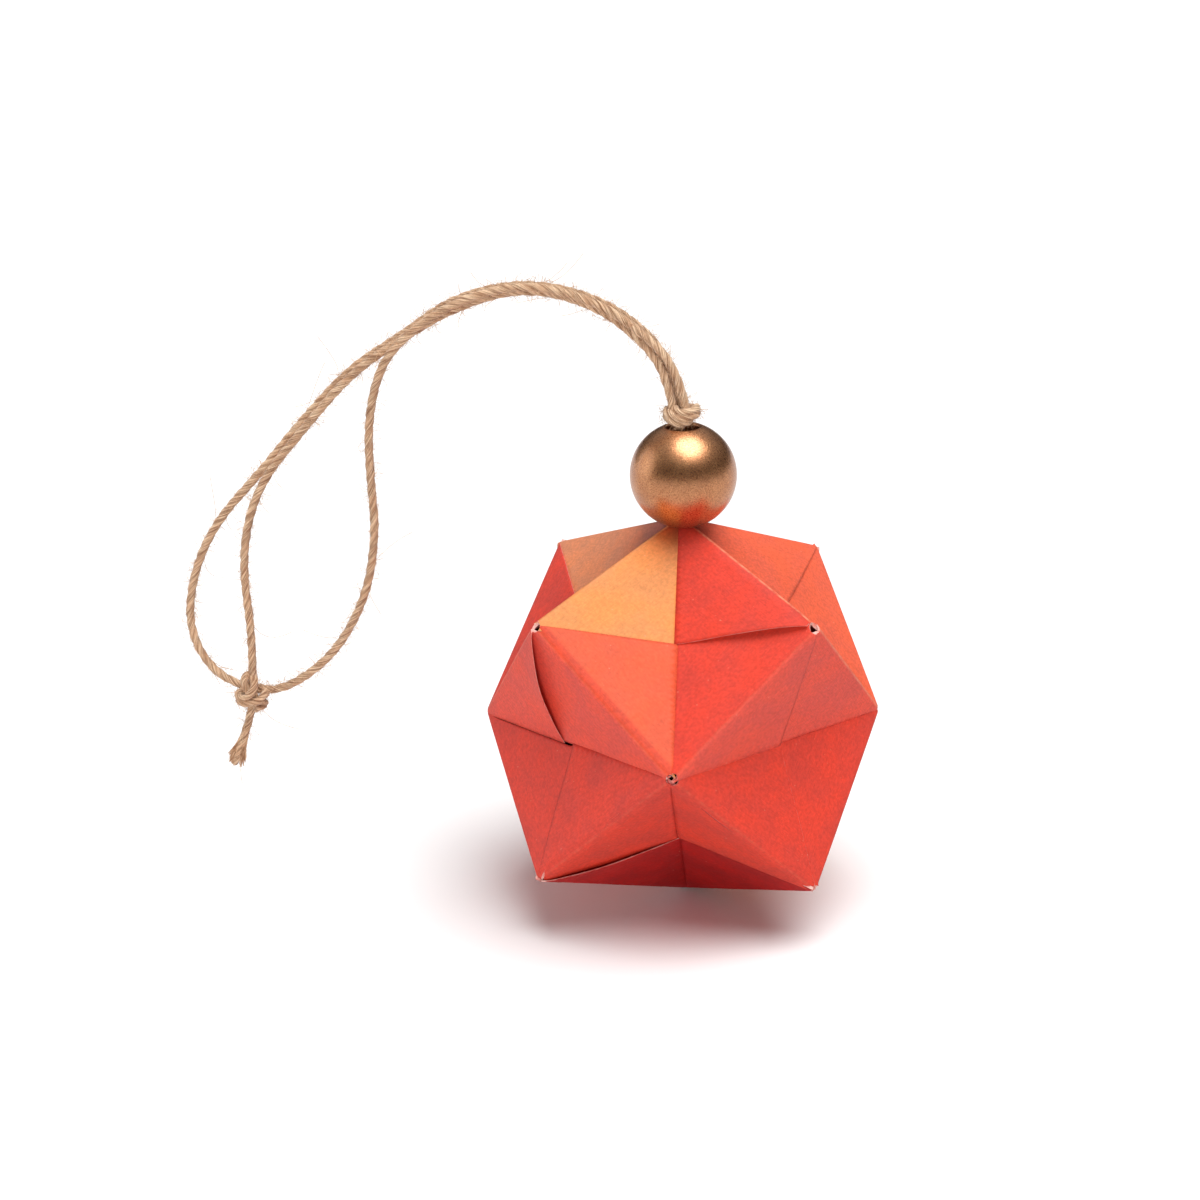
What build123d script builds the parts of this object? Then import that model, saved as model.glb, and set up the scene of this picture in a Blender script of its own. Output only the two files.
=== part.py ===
from build123d import *
import os
from math import pi, radians, sqrt, tan

# Hanging ball folded from twelve square sheets, with a bead and a twine loop.
# Millimetres, +Z up. The origin is the hanging point, where the twine leaves
# the knot on top of the bead. Front is -Y.

# The flat sheets and the ball they make
sheet_side = 105.0
sheet_thickness = 0.18
ridge = sheet_side / (2 * sqrt(2))
apex_reach = 2 / 3 * ridge
gap = 0.03
slit = 0.2
tab_sheets = 4
base_sheets = 3
tab_depth = tab_sheets * sheet_thickness
base_depth = base_sheets * sheet_thickness
fold_radius = 0.5
tip_opening = 1.0

# The bead
bead_radius = 10.0
bore_radius = 3.0
mouth_round = 0.5
bead_seat = 8.08

# The twine and its knots
twine_diameter = 1.8
knot_radius = 3.6
knot_height = 4.2
knot_edge_round = 1.6
knot_sink = 0.45
socket_depth = 1.5
bend_share = 0.45
anchor_radius = 3.0
anchor_drop = 6.9
loop_knot_radius = 3.5
loop_knot_height = 7.2
loop_knot_round = 2.45
loop_knot_centre = (-85.6, 15.2, -62.0)

# Heights below the hanging point
bead_mouth = sqrt(bead_radius**2 - (bore_radius + mouth_round) ** 2)
bead_centre_z = -(knot_height - knot_sink + bead_mouth)
tip_z = bead_centre_z - bead_seat
ball_centre_z = tip_z - ridge

os.makedirs("parts", exist_ok=True)


def finish(piece, name):
    """Label a finished piece and write it."""
    piece.part.label = name
    export_step(piece.part, f"parts/{name}.step")


# A folded unit is a square sheet pressed into a bent diamond with two tabs.
# Its own frame has the ball's centre at the origin, +Z through the middle of
# the valley fold and +X along the valley. Three ridges at right angles meet
# at each apex, so a face's layers lie in planes parallel to two of them.
apex = Vector(0, apex_reach, sqrt(2) * apex_reach)
valley_end = ridge / sqrt(2)
own_tip = Vector(-valley_end, 0, valley_end)
far_tip = Vector(valley_end, 0, valley_end)
own_ridge = (own_tip - apex).normalized()
tab_ridge = (far_tip - apex).normalized()
inward = tab_ridge.cross(own_ridge)
next_tip = apex + inward * ridge

face = Plane(origin=apex, x_dir=tab_ridge, z_dir=inward)
tab_face = Plane(origin=apex, x_dir=own_ridge, z_dir=tab_ridge)
valley_plane = Plane(origin=(0, gap, 0), x_dir=(1, 0, 0), z_dir=(0, 1, 0))
next_normal = own_tip.cross(next_tip).normalized()
if next_normal.dot(apex) < 0:
    next_normal = next_normal * -1
next_plane = Plane(origin=next_normal * gap, z_dir=next_normal)

fold_start = tab_depth + gap
flap_end = ridge - sheet_thickness - gap
base_start = tab_depth + base_depth + sheet_thickness + gap
past_valley = ridge + tab_depth + base_depth

# The skin of one half: a single-sheet flap on the face, the fold over the
# ridge, and the four-sheet tab that goes under the next unit's flap.
with BuildPart() as half_skin:
    with BuildSketch(Plane(origin=apex + own_ridge * fold_start, x_dir=tab_ridge, z_dir=own_ridge)):
        with BuildLine():
            Polyline(
                (fold_radius, sheet_thickness),
                (tab_depth, sheet_thickness),
                (tab_depth, -tab_depth),
                (0, -tab_depth),
                (0, sheet_thickness - fold_radius),
            )
            RadiusArc((0, sheet_thickness - fold_radius), (fold_radius, sheet_thickness), fold_radius)
        make_face()
    extrude(amount=ridge)
    with BuildSketch(face):
        with BuildLine():
            Polyline(
                (fold_radius, fold_start),
                (fold_start, fold_start),
                (flap_end / 2, flap_end / 2),
                (fold_radius, flap_end - fold_radius),
                close=True,
            )
        make_face()
    extrude(amount=-sheet_thickness)
    with BuildSketch(tab_face):
        with BuildLine():
            Polyline(
                (fold_start, tab_depth / 2),
                (ridge - tab_depth / 2 - gap, tab_depth / 2),
                (fold_start, ridge - fold_start - gap),
                close=True,
            )
        make_face()
    extrude(amount=tab_depth)
    split(bisect_by=valley_plane, keep=Keep.TOP)
    split(bisect_by=next_plane, keep=Keep.TOP)

# The body of one half, under the tabs: three sheets all over, and a fourth
# beside the slit, where this quarter's strip of the sheet stays down.
with BuildPart() as half_body:
    with BuildSketch(face.offset(tab_depth)):
        with BuildLine():
            Polyline(
                (0, base_start),
                (past_valley - base_start, base_start),
                (0, past_valley),
                close=True,
            )
        make_face()
    extrude(amount=base_depth)
    with BuildSketch(face.offset(tab_depth + base_depth)):
        with BuildLine():
            Polyline(
                (base_start + slit, base_start),
                (past_valley - base_start, base_start),
                ((past_valley + slit) / 2, (past_valley - slit) / 2),
                close=True,
            )
        make_face()
    extrude(amount=sheet_thickness)
    split(bisect_by=Plane.XZ, keep=Keep.BOTTOM)
    split(bisect_by=next_plane, keep=Keep.TOP)

with BuildPart() as folded_unit:
    add(half_skin.part)
    add(half_body.part)
    add(half_skin.part.rotate(Axis.Z, 180))
    add(half_body.part.rotate(Axis.Z, 180))
    for tip in (own_tip, far_tip, next_tip, next_tip.rotate(Axis.Z, 180)):
        with BuildSketch(Plane(origin=tip / 2, z_dir=tip.normalized())):
            Circle(tip_opening)
        extrude(amount=ridge, mode=Mode.SUBTRACT)

# Each unit bridges two neighbouring tips of the ball, named by their places.
tips = {
    "top": Vector(0, 0, 1),
    "bottom": Vector(0, 0, -1),
    "front": Vector(0, -1, 0),
    "back": Vector(0, 1, 0),
    "left": Vector(-1, 0, 0),
    "right": Vector(1, 0, 0),
}
bridges = [(end, side) for end in ("top", "bottom") for side in ("front", "left", "right", "back")]
bridges += [(end, side) for end in ("front", "back") for side in ("left", "right")]

for first, second in bridges:
    seat = Plane(
        origin=(0, 0, ball_centre_z),
        x_dir=tips[second] - tips[first],
        z_dir=tips[second] + tips[first],
    )
    with BuildPart() as placed_unit:
        add(folded_unit.part.moved(seat.location))
    finish(placed_unit, f"paper_unit_{first}_{second}")

# The bead is a ball with a straight bore and rounded mouths.
with BuildPart() as bead:
    with BuildSketch(Plane.XZ) as bead_section:
        with Locations((0, bead_centre_z)):
            Circle(bead_radius)
            with Locations((-bead_radius + bore_radius, 0)):
                Rectangle(2 * bead_radius, 2 * bead_radius, mode=Mode.SUBTRACT)
    revolve(axis=Axis.Z)
    mouths = bead.edges().filter_by(GeomType.CIRCLE).filter_by(lambda edge: abs(edge.radius - bore_radius) < gap)
    fillet(mouths, mouth_round)
finish(bead, "bead")


def cord_tube(points):
    """Round tube along straight runs joined by arcs as large as the runs allow."""
    corners = [Vector(*point) for point in points]
    radii = []
    for before, corner, after in zip(corners, corners[1:], corners[2:]):
        arriving = corner - before
        leaving = after - corner
        shorter = min(arriving.length, leaving.length)
        radii.append(bend_share * shorter / tan(radians(arriving.get_angle(leaving)) / 2))
    with BuildPart() as tube:
        with BuildLine() as route:
            FilletPolyline(*points, radius=radii)
        with BuildSketch(Plane(origin=route.wire() @ 0, z_dir=route.wire() % 0)):
            Circle(twine_diameter / 2)
        sweep(path=route.wire())
    length = route.wire().length
    section = pi * (twine_diameter / 2) ** 2
    print("route length", round(length, 1), "smallest radius", round(min(radii), 1))
    print("radii", [round(radius, 1) for radius in radii])
    print("volume over section times length", round(tube.part.volume / (section * length), 4))
    return tube


# The loop leaves the knot, runs down the right of the loop, through the far
# knot and back up the left.
loop_route = [
    (1.5, -1, -socket_depth),
    (0, -0.5, 6),
    (-5.5, 0, 13),
    (-15.5, 1.5, 19.5),
    (-28.5, 4, 22),
    (-42, 5.5, 17.5),
    (-52, 6.5, 10),
    (-57, 8, 4),
    (-59, 9, -5.5),
    (-59, 9.5, -16),
    (-58.5, 10, -27),
    (-61, 11, -40),
    (-68, 13, -52.5),
    (-78.5, 15, -61),
    (-86, 16.5, -62.5),
    (-95, 18, -59.5),
    (-99, 19, -50),
    (-96.5, 18.5, -38),
    (-91, 17.5, -27.5),
    (-81, 15.5, -17),
    (-72.5, 14, -7),
    (-62, 12.5, 4),
    (-52, 11.5, 10),
    (-42, 9, 17.5),
    (-28.5, 6, 21.5),
    (-15.5, 4, 19),
    (-6, 2, 13),
    (-1, 1.5, 5.5),
    (0.5, 1, -socket_depth),
]
loop_twine = cord_tube(loop_route)
finish(loop_twine, "loop_twine")

# The third strand runs with the other two, down to the far knot and out of
# it as a short tail.
tail_route = [
    (-1, -0.5, -socket_depth),
    (-2, -0.5, 5),
    (-7, 1, 11.5),
    (-16, 2.5, 17.5),
    (-28.5, 4.5, 20),
    (-41.5, 7, 15.5),
    (-52, 9, 10),
    (-62, 10, 3.5),
    (-72, 12, -7.5),
    (-80.5, 13.5, -17.5),
    (-84.5, 14, -26.5),
    (-86, 14.5, -36.5),
    (-85, 14, -47.5),
    (-85, 14, -56.5),
    (-85.5, 14.5, -64.5),
    (-87.5, 14.5, -71.5),
    (-89.5, 15, -77.5),
]
tail_twine = cord_tube(tail_route)
finish(tail_twine, "tail_twine")

# Inside: the end of the twine goes down the bore, through the opening in the
# top tip, to a knot that can't be pulled back out.
anchor_z = tip_z - anchor_drop
knot_bottom_z = -knot_height
with BuildPart() as inner_twine:
    with BuildSketch(Plane.XY.offset(anchor_z)):
        Circle(twine_diameter / 2)
    extrude(amount=knot_bottom_z + socket_depth - anchor_z)
finish(inner_twine, "inner_twine")

with BuildPart() as anchor_knot:
    with BuildSketch(Plane.XZ):
        with Locations((0, anchor_z)):
            Circle(anchor_radius)
        with Locations((-anchor_radius, anchor_z)):
            Rectangle(2 * anchor_radius, 4 * anchor_radius, mode=Mode.SUBTRACT)
    revolve(axis=Axis.Z)
    add(inner_twine.part, mode=Mode.SUBTRACT)
finish(anchor_knot, "anchor_knot")

# The knot on the bead is a squat turn of twine, with sockets for the strands.
with BuildPart() as bead_knot:
    with BuildSketch(Plane.XY.offset(knot_bottom_z)):
        Circle(knot_radius)
    extrude(amount=knot_height)
    fillet(bead_knot.edges().filter_by(GeomType.CIRCLE), knot_edge_round)
    add(loop_twine.part, mode=Mode.SUBTRACT)
    add(tail_twine.part, mode=Mode.SUBTRACT)
    add(inner_twine.part, mode=Mode.SUBTRACT)
finish(bead_knot, "bead_knot")

# The far knot closes the loop, with the loop and the third strand through it.
with BuildPart() as loop_knot:
    with BuildSketch(Plane(origin=loop_knot_centre).offset(-loop_knot_height / 2)):
        Circle(loop_knot_radius)
    extrude(amount=loop_knot_height)
    fillet(loop_knot.edges().filter_by(GeomType.CIRCLE), loop_knot_round)
    add(loop_twine.part, mode=Mode.SUBTRACT)
    add(tail_twine.part, mode=Mode.SUBTRACT)
finish(loop_knot, "loop_knot")
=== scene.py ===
import math

import bpy
import numpy as np
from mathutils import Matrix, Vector, noise


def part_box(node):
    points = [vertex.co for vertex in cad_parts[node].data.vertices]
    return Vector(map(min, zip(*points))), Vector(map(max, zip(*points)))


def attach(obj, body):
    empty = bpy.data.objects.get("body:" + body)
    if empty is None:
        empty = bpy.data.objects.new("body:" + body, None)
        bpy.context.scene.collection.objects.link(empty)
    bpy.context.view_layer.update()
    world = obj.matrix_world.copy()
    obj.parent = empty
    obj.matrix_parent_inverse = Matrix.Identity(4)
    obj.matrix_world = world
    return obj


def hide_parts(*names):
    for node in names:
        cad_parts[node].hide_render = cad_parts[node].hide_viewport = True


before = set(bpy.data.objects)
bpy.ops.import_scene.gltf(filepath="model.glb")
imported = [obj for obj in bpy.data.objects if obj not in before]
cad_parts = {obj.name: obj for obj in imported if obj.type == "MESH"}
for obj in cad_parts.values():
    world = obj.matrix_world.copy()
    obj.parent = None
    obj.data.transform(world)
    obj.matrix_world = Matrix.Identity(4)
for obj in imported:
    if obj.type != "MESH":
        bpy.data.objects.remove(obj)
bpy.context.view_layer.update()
mm = 0.001
print("frame loaded:", len(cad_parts), "nodes")


def fromSrgb(r, g, b):
    # 0-255 values to linear light
    out = []
    for v in (r, g, b):
        v /= 255
        out.append(v / 12.92 if v <= 0.04045 else ((v + 0.055) / 1.055) ** 2.4)
    return tuple(out)


def addNode(tree, kind, place=(0, 0), **settings):
    node = tree.nodes.new(kind)
    node.location = place
    for key, value in settings.items():
        setattr(node, key, value)
    return node


def setInputs(node, values):
    for name, value in values.items():
        node.inputs[name].default_value = value


def storeNode(tree, geometry, name, value, place, kind="FLOAT", domain="POINT"):
    # keep a value on the geometry, under the name that a material or a selection reads
    node = addNode(tree, "GeometryNodeStoreNamedAttribute", place, data_type=kind, domain=domain)
    node.inputs["Name"].default_value = name
    tree.links.new(geometry, node.inputs["Geometry"])
    if isinstance(value, bool):
        node.inputs["Value"].default_value = value
    else:
        tree.links.new(value, node.inputs["Value"])
    return node.outputs[0]


def paintNode(tree, geometry, material, place):
    node = addNode(tree, "GeometryNodeSetMaterial", place)
    tree.links.new(geometry, node.inputs["Geometry"])
    tree.links.new(material, node.inputs["Material"])
    return node


def newTree(name, inputs, left, right):
    # a geometry tree with its named inputs; inputs are {socket type: labels}
    tree = bpy.data.node_groups.new(name, "GeometryNodeTree")
    face = tree.interface
    face.new_socket("Geometry", in_out="INPUT", socket_type="NodeSocketGeometry")
    for kind, labels in inputs.items():
        for label in labels:
            face.new_socket(label, in_out="INPUT", socket_type="NodeSocket" + kind)
    face.new_socket("Geometry", in_out="OUTPUT", socket_type="NodeSocketGeometry")
    given = addNode(tree, "NodeGroupInput", (left, 0)).outputs
    return tree, given, addNode(tree, "NodeGroupOutput", (right, 0)).inputs[0]


def mathNode(tree, operation, a, b=None, clamp=False):
    # a and b are sockets or plain numbers
    node = tree.nodes.new("ShaderNodeMath")
    node.operation = operation
    node.use_clamp = clamp
    for slot, value in enumerate((a, b)):
        if value is None:
            continue
        if isinstance(value, (int, float)):
            node.inputs[slot].default_value = value
        else:
            tree.links.new(value, node.inputs[slot])
    return node.outputs[0]


def mixColour(tree, factor, a, b, blend="MIX"):
    node = tree.nodes.new("ShaderNodeMix")
    node.data_type = "RGBA"
    node.blend_type = blend
    sockets = (node.inputs["Factor"], node.inputs[6], node.inputs[7])
    for socket, value in zip(sockets, (factor, a, b)):
        if isinstance(value, bpy.types.NodeSocket):
            tree.links.new(value, socket)
        elif isinstance(value, tuple):
            socket.default_value = (*value[:3], 1.0)
        else:
            socket.default_value = value
    return node.outputs[2]


def rampNode(tree, value, stops):
    # stops are (place, grey level)
    node = tree.nodes.new("ShaderNodeValToRGB")
    tree.links.new(value, node.inputs[0])
    ramp = node.color_ramp
    while len(ramp.elements) < len(stops):
        ramp.elements.new(0.5)
    for element, (place, level) in zip(ramp.elements, stops):
        element.position = place
        element.color = (level, level, level, 1)
    return node.outputs[0]


def noiseNode(tree, vector, scale, detail=3, rough=0.55, distortion=0.0):
    node = tree.nodes.new("ShaderNodeTexNoise")
    tree.links.new(vector, node.inputs["Vector"])
    setInputs(node, {"Scale": scale, "Detail": detail, "Roughness": rough, "Distortion": distortion})
    return node.outputs[0]


def stretched(tree, vector, scale):
    node = tree.nodes.new("ShaderNodeMapping")
    tree.links.new(vector, node.inputs["Vector"])
    node.inputs["Scale"].default_value = scale
    return node.outputs[0]


def attributeNode(tree, name, output="Fac"):
    node = tree.nodes.new("ShaderNodeAttribute")
    node.attribute_name = name
    return node.outputs[output]


def bumpNode(tree, height, distance, strength=1.0, normal=None):
    node = tree.nodes.new("ShaderNodeBump")
    tree.links.new(height, node.inputs["Height"])
    setInputs(node, {"Distance": distance, "Strength": strength})
    if normal is not None:
        tree.links.new(normal, node.inputs["Normal"])
    return node.outputs[0]


def newMaterial(name):
    material = bpy.data.materials.new(name)
    material.use_nodes = True
    tree = material.node_tree
    return material, tree, tree.nodes["Principled BSDF"]


def addObject(name, data):
    piece = bpy.data.objects.new(name, data)
    bpy.context.scene.collection.objects.link(piece)
    return piece


def meshFrom(name, points, faces):
    mesh = bpy.data.meshes.new(name)
    mesh.from_pydata([tuple(p) for p in points], [], faces)
    mesh.polygons.foreach_set("use_smooth", [True] * len(mesh.polygons))
    mesh.update()
    return mesh


def smoothStep(x, low, high):
    t = np.clip((x - low) / (high - low), 0, 1)
    return t * t * (3 - 2 * t)


cameraLook = {
    "place": (0.02171, -0.44726, 0.11296),
    "tilt": (71.53, 1.22, 4.32),
    "lens": 76.24,
}
cameraData = bpy.data.cameras.new("camera")
cameraData.lens = cameraLook["lens"]
cameraData.sensor_width = 36
cameraData.clip_start = 0.01
camera = addObject("camera", cameraData)
camera.location = cameraLook["place"]
camera.rotation_euler = [math.radians(a) for a in cameraLook["tilt"]]
bpy.context.scene.camera = camera
bpy.context.scene.view_settings.view_transform = "Standard"


twine = {
    "diameter": 1.8 * mm,
    "plump": 0.93,             # how much of the diameter the plies fill, the rest is fuzz
    "pitch": 7.8 * mm,
    "step": 0.34 * mm,
    "groove": 0.24,
    "unevenness": 0.16,
    "fuzzDensity": 1900000,
    "fuzzLength": 1.9 * mm,
    "hairRadius": 0.037 * mm,
}

# control points of the two cords, from the knot on the bead outwards
loopRoute = [
    (0.0015, -0.001, -0.0015), (-0.0002, -0.0005, 0.0068), (-0.006, 0, 0.0135), (-0.0158, 0.0015, 0.0197),
    (-0.0285, 0.004, 0.0222), (-0.042, 0.0055, 0.0182), (-0.052, 0.0065, 0.0109),
    (-0.0564, 0.008, 0.0045), (-0.0588, 0.009, -0.0052), (-0.059, 0.0095, -0.0157),
    (-0.0585, 0.01, -0.0267), (-0.061, 0.011, -0.0397), (-0.068, 0.013, -0.0522),
    (-0.0782, 0.015, -0.0605), (-0.0858, 0.0165, -0.0615), (-0.0942, 0.018, -0.0581),
    (-0.0985, 0.019, -0.0492), (-0.0965, 0.0185, -0.0377), (-0.091, 0.0175, -0.027),
    (-0.081, 0.0155, -0.0163), (-0.0725, 0.014, -0.0063), (-0.062, 0.0125, 0.0047),
    (-0.052, 0.0115, 0.0109), (-0.042, 0.009, 0.0184), (-0.0285, 0.006, 0.022),
    (-0.0155, 0.004, 0.0196), (-0.006, 0.002, 0.0138), (-0.001, 0.0015, 0.0063),
    (0.0005, 0.001, -0.0015),
]
tailRoute = [
    (-0.001, -0.0005, -0.0015), (-0.002, -0.0005, 0.0058), (-0.007, 0.001, 0.0125),
    (-0.016, 0.0027, 0.0188), (-0.0285, 0.0048, 0.0213), (-0.0415, 0.007, 0.0171),
    (-0.052, 0.009, 0.0107), (-0.0618, 0.01, 0.004), (-0.0716, 0.012, -0.007),
    (-0.0802, 0.0135, -0.017), (-0.0842, 0.014, -0.0262), (-0.0857, 0.0145, -0.0362),
    (-0.0848, 0.014, -0.0472), (-0.085, 0.014, -0.0562), (-0.0856, 0.0145, -0.0642),
    (-0.088, 0.0145, -0.0712), (-0.0902, 0.015, -0.0764),
]


def routeMesh(name, route, resolution=16):
    # one open NURBS spline with the route as control points, read back as a line of edges
    data = bpy.data.curves.new(name, "CURVE")
    data.dimensions = "3D"
    data.resolution_u = resolution
    spline = data.splines.new("NURBS")
    spline.points.add(len(route) - 1)
    for point, place in zip(spline.points, route):
        point.co = (*place, 1)
    spline.order_u = 3
    spline.use_endpoint_u = True
    holder = addObject(name, data)
    graph = bpy.context.evaluated_depsgraph_get()
    line = bpy.data.meshes.new_from_object(holder.evaluated_get(graph))
    bpy.data.objects.remove(holder)
    return line


def linePoints(line):
    return [tuple(v.co) for v in line.vertices]


def buildTwineTree():
    # route -> three plies laid round each other, with loose fibres on the surface
    tree, given, out = newTree("twineTree", {
        "Float": ("Radius", "Pitch", "Step", "Groove", "Unevenness", "Fuzz Density", "Fuzz Length",
                  "Hair Radius", "Start Turn"),
        "Int": ("Seed",),
        "Material": ("Material", "Hair Material"),
    }, -1200, 1800)
    link = tree.links.new

    toCurve = addNode(tree, "GeometryNodeMeshToCurve", (-1000, 200))
    link(given["Geometry"], toCurve.inputs["Mesh"])
    resample = addNode(tree, "GeometryNodeResampleCurve", (-800, 200))
    setMode(resample, "LENGTH", "Length")
    link(toCurve.outputs[0], resample.inputs["Curve"])
    link(given["Step"], resample.inputs["Length"])

    along = addNode(tree, "GeometryNodeSplineParameter", (-1000, -100)).outputs["Length"]
    turns = mathNode(tree, "DIVIDE", along, given["Pitch"])
    angle = mathNode(tree, "MULTIPLY", mathNode(tree, "ADD", turns, given["Start Turn"]), 2 * math.pi)
    twist = addNode(tree, "GeometryNodeSetCurveTilt", (-500, 200))
    link(resample.outputs[0], twist.inputs["Curve"])
    link(angle, twist.inputs["Tilt"])
    strand = storeNode(tree, twist.outputs[0], "along", along, (-300, 200))

    # section of the twine: three rounded plies
    sectionPoints = 36
    circle = addNode(tree, "GeometryNodeCurvePrimitiveCircle", (-800, -400))
    setInputs(circle, {"Resolution": sectionPoints, "Radius": 1.0})
    index = addNode(tree, "GeometryNodeInputIndex", (-1000, -600)).outputs[0]
    theta = mathNode(tree, "MULTIPLY", index, 2 * math.pi / sectionPoints)
    lobe = mathNode(tree, "ABSOLUTE", mathNode(tree, "COSINE", mathNode(tree, "MULTIPLY", theta, 1.5)))
    lobe = mathNode(tree, "POWER", lobe, 0.7)
    deep = mathNode(tree, "MULTIPLY", mathNode(tree, "SUBTRACT", 1.0, lobe), given["Groove"])
    reach = mathNode(tree, "MULTIPLY", mathNode(tree, "SUBTRACT", 1.0, deep), given["Radius"])
    around = addNode(tree, "ShaderNodeCombineXYZ", (-500, -600))
    link(mathNode(tree, "COSINE", theta), around.inputs["X"])
    link(mathNode(tree, "SINE", theta), around.inputs["Y"])
    placed = addNode(tree, "ShaderNodeVectorMath", (-300, -600), operation="SCALE")
    link(around.outputs[0], placed.inputs[0])
    link(reach, placed.inputs["Scale"])
    shape = addNode(tree, "GeometryNodeSetPosition", (-100, -400))
    link(circle.outputs[0], shape.inputs["Geometry"])
    link(placed.outputs[0], shape.inputs["Position"])
    section = storeNode(tree, shape.outputs[0], "around", around.outputs[0], (100, -400), "FLOAT_VECTOR")
    section = storeNode(tree, section, "lobe", lobe, (300, -400))

    # the yarn is a little thicker and thinner along its length
    swell = addNode(tree, "ShaderNodeTexNoise", (-100, 400), noise_dimensions="1D")
    link(along, swell.inputs["W"])
    setInputs(swell, {"Scale": 260, "Detail": 2})
    thick = mathNode(tree, "ADD", 1.0, mathNode(
        tree, "MULTIPLY", mathNode(tree, "SUBTRACT", swell.outputs[0], 0.5), given["Unevenness"]))
    body = addNode(tree, "GeometryNodeCurveToMesh", (500, 200))
    link(thick, body.inputs["Scale"])
    link(strand, body.inputs["Curve"])
    link(section, body.inputs["Profile Curve"])
    body.inputs["Fill Caps"].default_value = True
    smooth = addNode(tree, "GeometryNodeSetShadeSmooth", (700, 200))
    link(body.outputs[0], smooth.inputs[0])

    # one loose fibre, then many of them
    fibre = addNode(tree, "GeometryNodeCurveQuadraticBezier", (-100, -900))
    setInputs(fibre, {"Resolution": 6, "Start": (0, 0, -0.05), "Middle": (0.25, 0.1, 0.55),
                      "End": (0.95, 0.0, 0.6)})
    grown = addNode(tree, "GeometryNodeTransform", (100, -900))
    link(fibre.outputs[0], grown.inputs["Geometry"])
    size = addNode(tree, "ShaderNodeCombineXYZ", (-100, -1100))
    for axis in ("X", "Y", "Z"):
        link(given["Fuzz Length"], size.inputs[axis])
    link(size.outputs[0], grown.inputs["Scale"])
    hairRing = addNode(tree, "GeometryNodeCurvePrimitiveCircle", (100, -1100))
    hairRing.inputs["Resolution"].default_value = 3
    link(given["Hair Radius"], hairRing.inputs["Radius"])
    hair = addNode(tree, "GeometryNodeCurveToMesh", (300, -900))
    link(grown.outputs[0], hair.inputs["Curve"])
    link(hairRing.outputs[0], hair.inputs["Profile Curve"])
    loose = storeNode(tree, hair.outputs[0], "loose", True, (500, -900), "BOOLEAN", "FACE")
    scatter = addNode(tree, "GeometryNodeDistributePointsOnFaces", (700, -300))
    link(body.outputs[0], scatter.inputs["Mesh"])
    link(given["Fuzz Density"], scatter.inputs["Density"])
    link(given["Seed"], scatter.inputs["Seed"])
    spin = addNode(tree, "FunctionNodeRandomValue", (700, -700), data_type="FLOAT_VECTOR")
    setInputs(spin, {"Min": (-0.9, -0.9, 0), "Max": (0.9, 0.9, 2 * math.pi)})
    link(given["Seed"], spin.inputs["Seed"])
    turned = addNode(tree, "FunctionNodeRotateRotation", (900, -600))
    turned.rotation_space = "LOCAL"
    link(scatter.outputs["Rotation"], turned.inputs[0])
    link(spin.outputs[0], turned.inputs[1])
    grow = addNode(tree, "FunctionNodeRandomValue", (700, -1000), data_type="FLOAT")
    grow.inputs[2].default_value = 0.25
    grow.inputs[3].default_value = 1.0
    link(given["Seed"], grow.inputs["Seed"])
    place = addNode(tree, "GeometryNodeInstanceOnPoints", (1000, -300))
    link(scatter.outputs["Points"], place.inputs["Points"])
    link(loose, place.inputs["Instance"])
    link(turned.outputs[0], place.inputs["Rotation"])
    link(grow.outputs[1], place.inputs["Scale"])

    joined = addNode(tree, "GeometryNodeJoinGeometry", (1100, 0))
    link(smooth.outputs[0], joined.inputs[0])
    link(place.outputs[0], joined.inputs[0])
    real = addNode(tree, "GeometryNodeRealizeInstances", (1200, 0))
    link(joined.outputs[0], real.inputs[0])
    paint = paintNode(tree, real.outputs[0], given["Material"], (1400, 0))
    isLoose = addNode(tree, "GeometryNodeInputNamedAttribute", (1400, -300), data_type="BOOLEAN")
    isLoose.inputs["Name"].default_value = "loose"
    hairPaint = paintNode(tree, paint.outputs[0], given["Hair Material"], (1600, 0))
    link(isLoose.outputs["Attribute"], hairPaint.inputs["Selection"])
    link(hairPaint.outputs[0], out)
    return tree


def buildFibreTree():
    # lines of edges -> thin round fibres
    tree, given, out = newTree("fibreTree", {
        "Float": ("Hair Radius",),
        "Material": ("Hair Material",),
    }, -600, 600)
    link = tree.links.new
    toCurve = addNode(tree, "GeometryNodeMeshToCurve", (-400, 100))
    link(given["Geometry"], toCurve.inputs["Mesh"])
    ring = addNode(tree, "GeometryNodeCurvePrimitiveCircle", (-400, -200))
    ring.inputs["Resolution"].default_value = 4
    link(given["Hair Radius"], ring.inputs["Radius"])
    tube = addNode(tree, "GeometryNodeCurveToMesh", (-200, 100))
    link(toCurve.outputs[0], tube.inputs["Curve"])
    link(ring.outputs[0], tube.inputs["Profile Curve"])
    tube.inputs["Fill Caps"].default_value = True
    real = addNode(tree, "GeometryNodeRealizeInstances", (0, 100))
    link(tube.outputs[0], real.inputs[0])
    paint = paintNode(tree, real.outputs[0], given["Hair Material"], (200, 100))
    link(paint.outputs[0], out)
    return tree


def setMode(node, kind, label):
    # the mode is a property in older files and a menu socket in newer ones
    if hasattr(node, "mode"):
        node.mode = kind
    else:
        node.inputs["Mode"].default_value = label


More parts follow.
